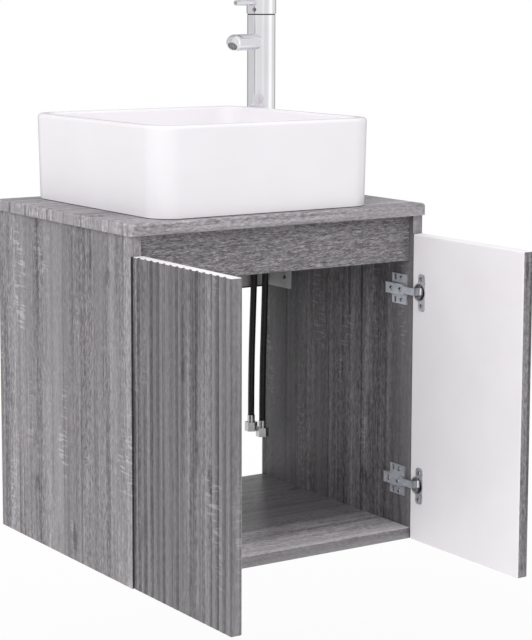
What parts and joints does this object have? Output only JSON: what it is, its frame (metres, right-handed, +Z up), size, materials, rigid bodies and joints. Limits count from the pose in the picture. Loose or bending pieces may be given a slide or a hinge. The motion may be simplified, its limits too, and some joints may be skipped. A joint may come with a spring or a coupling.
{
  "type": "wall-hung vanity unit",
  "caption": "Wall-hung vanity cabinet with open back, fluted hinged doors, square vessel basin, tall corner mixer tap, push-button waste and hanging supply hoses.",
  "frame": {"origin": "midway between the two wall screw holes, on the wall plane at the back of the cabinet", "axes": "+Z up, +X to the right seen from the front, -Y out of the front; the wall is at y = 0"},
  "size_m": [0.48, 0.6155, 0.789],
  "materials": {
    "carcass_board": "grey oak-look film on engineered wood, satin",
    "door_board": "grey oak-look fluted front, smooth white inner face",
    "dowel_wood": "bare hardwood",
    "zinc": "zinc, satin",
    "hinge_nickel": "nickel plated",
    "bracket_steel": "grey coated steel",
    "ceramic": "white glazed ceramic, opaque",
    "sealant": "dark grey sealant",
    "black_rubber": "black rubber",
    "hose_rubber": "black smooth hose jacket",
    "fitting_steel": "plated steel",
    "cartridge_plastic": "white moulded plastic",
    "brass": "turned brass",
    "chrome": "polished chrome",
    "aerator": "dark grey plastic mesh",
    "indicator": "red and blue dot"
  },
  "bodies": {
    "cabinet": {"basin": "ceramic", "basin_sealant": "sealant", "bottom_panel": "carcass_board", "bracket_screws": "zinc", "cam_bolts": "zinc", "cam_locks": "zinc", "countertop": "carcass_board", "dowels": "dowel_wood", "front_fascia": "carcass_board", "hinge_adjusting_screws": "hinge_nickel", "hinge_arm_left_lower": "hinge_nickel", "hinge_arm_left_upper": "hinge_nickel", "hinge_arm_right_lower": "hinge_nickel", "hinge_arm_right_upper": "hinge_nickel", "hinge_plate_left_lower": "hinge_nickel", "hinge_plate_left_upper": "hinge_nickel", "hinge_plate_right_lower": "hinge_nickel", "hinge_plate_right_upper": "hinge_nickel", "hinge_plate_screws": "hinge_nickel", "hose_cold": "hose_rubber", "hose_end_nuts": "fitting_steel", "hose_ferrules": "fitting_steel", "hose_hot": "hose_rubber", "rear_rail": "carcass_board", "side_panel_left": "carcass_board", "side_panel_right": "carcass_board", "tap_aerator": "aerator", "tap_base_insert": "brass", "tap_cartridge": "cartridge_plastic", "tap_cartridge_ring": "brass", "tap_clamp_washer": "fitting_steel", "tap_column": "chrome", "tap_gasket": "black_rubber", "tap_spout": "chrome", "tap_stud": "fitting_steel", "tap_stud_nut": "brass", "wall_bracket_left": "bracket_steel", "wall_bracket_right": "bracket_steel", "waste_backnut": "chrome", "waste_body": "chrome", "waste_seals": "black_rubber", "waste_tailpiece": "chrome"},
    "door_left": {"door_left": "door_board", "hinge_cup_left_lower": "hinge_nickel", "hinge_cup_left_upper": "hinge_nickel", "hinge_cup_screws_left": "hinge_nickel", "hinge_pins_left": "hinge_nickel"},
    "door_right": {"door_right": "door_board", "hinge_cup_right_lower": "hinge_nickel", "hinge_cup_right_upper": "hinge_nickel", "hinge_cup_screws_right": "hinge_nickel", "hinge_pins_right": "hinge_nickel"},
    "waste_plug": {"waste_plug": "chrome"},
    "tap_rotor": {"tap_rotor": "cartridge_plastic", "tap_tilt_pin": "fitting_steel"},
    "tap_handle": {"tap_handle": "chrome", "tap_stem": "fitting_steel", "tap_lever": "chrome", "tap_indicator": "indicator"}
  },
  "joints": [
    {"name": "door_left_hinge", "type": "hinge", "parent": "cabinet", "child": "door_left", "pos_m": [-0.226, -0.391, 0], "axis": [0, 0, -1], "range_deg": [-90, 15]},
    {"name": "door_right_hinge", "type": "hinge", "parent": "cabinet", "child": "door_right", "pos_m": [0.226, -0.391, 0], "axis": [0, 0, 1], "range_deg": [-90, 15]},
    {"name": "waste_plug_slide", "type": "slide", "parent": "cabinet", "child": "waste_plug", "axis": [0, 0, 1], "range_m": [0, 0.008]},
    {"name": "tap_swivel", "type": "hinge", "parent": "cabinet", "child": "tap_rotor", "pos_m": [0.19, -0.04, 0.36238], "axis": [0, 0, 1], "range_deg": [-45, 45]},
    {"name": "tap_tilt", "type": "hinge", "parent": "tap_rotor", "child": "tap_handle", "pos_m": [0.19, -0.04, 0.36238], "axis": [-0.4772, 0.8788, 0], "range_deg": [0, 20]}
  ]
}
